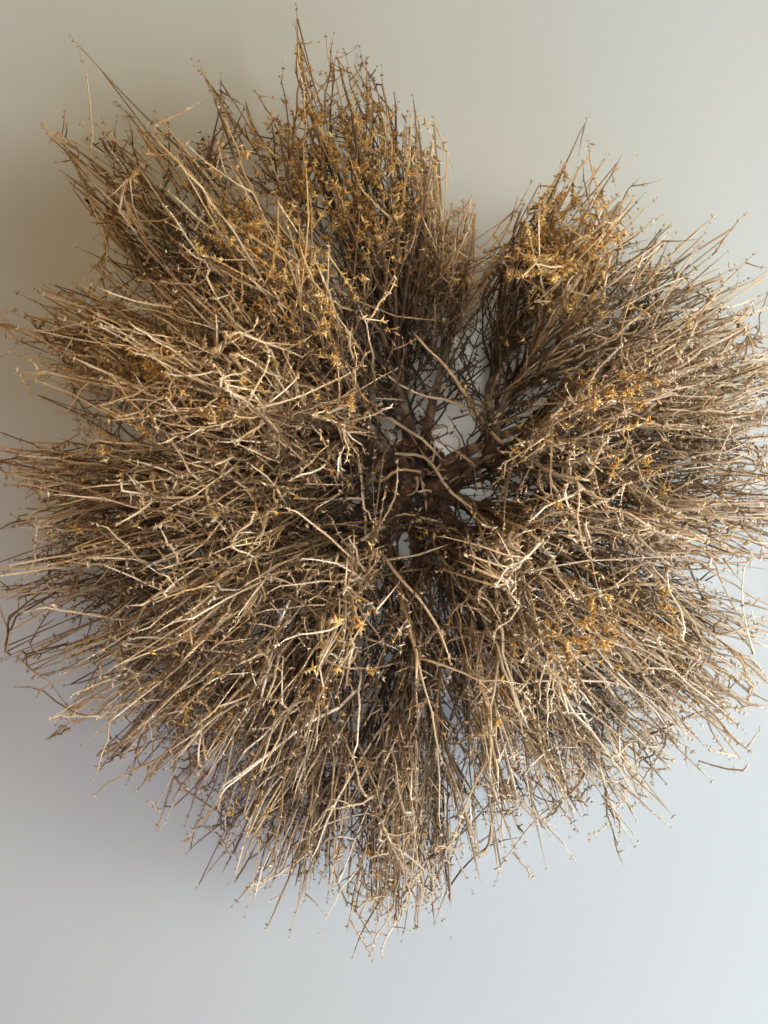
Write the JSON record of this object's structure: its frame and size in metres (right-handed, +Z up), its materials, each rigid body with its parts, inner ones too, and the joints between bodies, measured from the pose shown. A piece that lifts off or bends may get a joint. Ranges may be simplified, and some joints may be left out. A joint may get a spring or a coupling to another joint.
{
  "type": "tumbleweed",
  "caption": "Dried, rounded, much-branched shrub, broken off at its gnarled root crown: a low dome of stiff straw-coloured twigs with a deep notch on one side.",
  "frame": {"origin": "middle of the flat break under the root crown, on the surface that the bush lies on", "axes": "+Z up, away from the ground; +Y towards the side with the notch, along the longer extent; +X to the right of it"},
  "size_m": [0.5314, 0.603, 0.2698],
  "materials": {
    "crown_wood": "dark red-brown, cracked, weathered wood",
    "limb_bark": "brown, finely furrowed dry bark",
    "dry_twigs": "matt straw-coloured dry twigs, bleached at the tips, with golden flower remains"
  },
  "bodies": {
    "root": {"root_crown": "crown_wood", "limb_low_01": "limb_bark", "limb_low_02": "limb_bark", "limb_low_03": "limb_bark", "limb_low_04": "limb_bark", "limb_low_05": "limb_bark", "limb_low_06": "limb_bark", "limb_low_07": "limb_bark", "limb_low_08": "limb_bark", "limb_low_09": "limb_bark", "limb_low_10": "limb_bark", "limb_low_11": "limb_bark", "limb_low_12": "limb_bark", "limb_mid_01": "limb_bark", "limb_mid_02": "limb_bark", "limb_mid_03": "limb_bark", "limb_mid_04": "limb_bark", "limb_mid_05": "limb_bark", "limb_mid_06": "limb_bark", "limb_mid_07": "limb_bark", "limb_mid_08": "limb_bark", "limb_mid_09": "limb_bark", "limb_mid_10": "limb_bark", "limb_high_01": "limb_bark", "limb_high_02": "limb_bark", "limb_high_03": "limb_bark", "limb_high_04": "limb_bark", "limb_high_05": "limb_bark", "limb_high_06": "limb_bark", "limb_sprig": "limb_bark", "spray_low_01": "dry_twigs", "spray_low_02": "dry_twigs", "spray_low_03": "dry_twigs", "spray_low_04": "dry_twigs", "spray_low_05": "dry_twigs", "spray_low_06": "dry_twigs", "spray_low_07": "dry_twigs", "spray_low_08": "dry_twigs", "spray_low_09": "dry_twigs", "spray_low_10": "dry_twigs", "spray_low_11": "dry_twigs", "spray_low_12": "dry_twigs", "spray_mid_01": "dry_twigs", "spray_mid_02": "dry_twigs", "spray_mid_03": "dry_twigs", "spray_mid_04": "dry_twigs", "spray_mid_05": "dry_twigs", "spray_mid_06": "dry_twigs", "spray_mid_07": "dry_twigs", "spray_mid_08": "dry_twigs", "spray_mid_09": "dry_twigs", "spray_mid_10": "dry_twigs", "spray_high_01": "dry_twigs", "spray_high_02": "dry_twigs", "spray_high_03": "dry_twigs", "spray_high_04": "dry_twigs", "spray_high_05": "dry_twigs", "spray_high_06": "dry_twigs", "spray_sprig": "dry_twigs"}
  },
  "joints": []
}
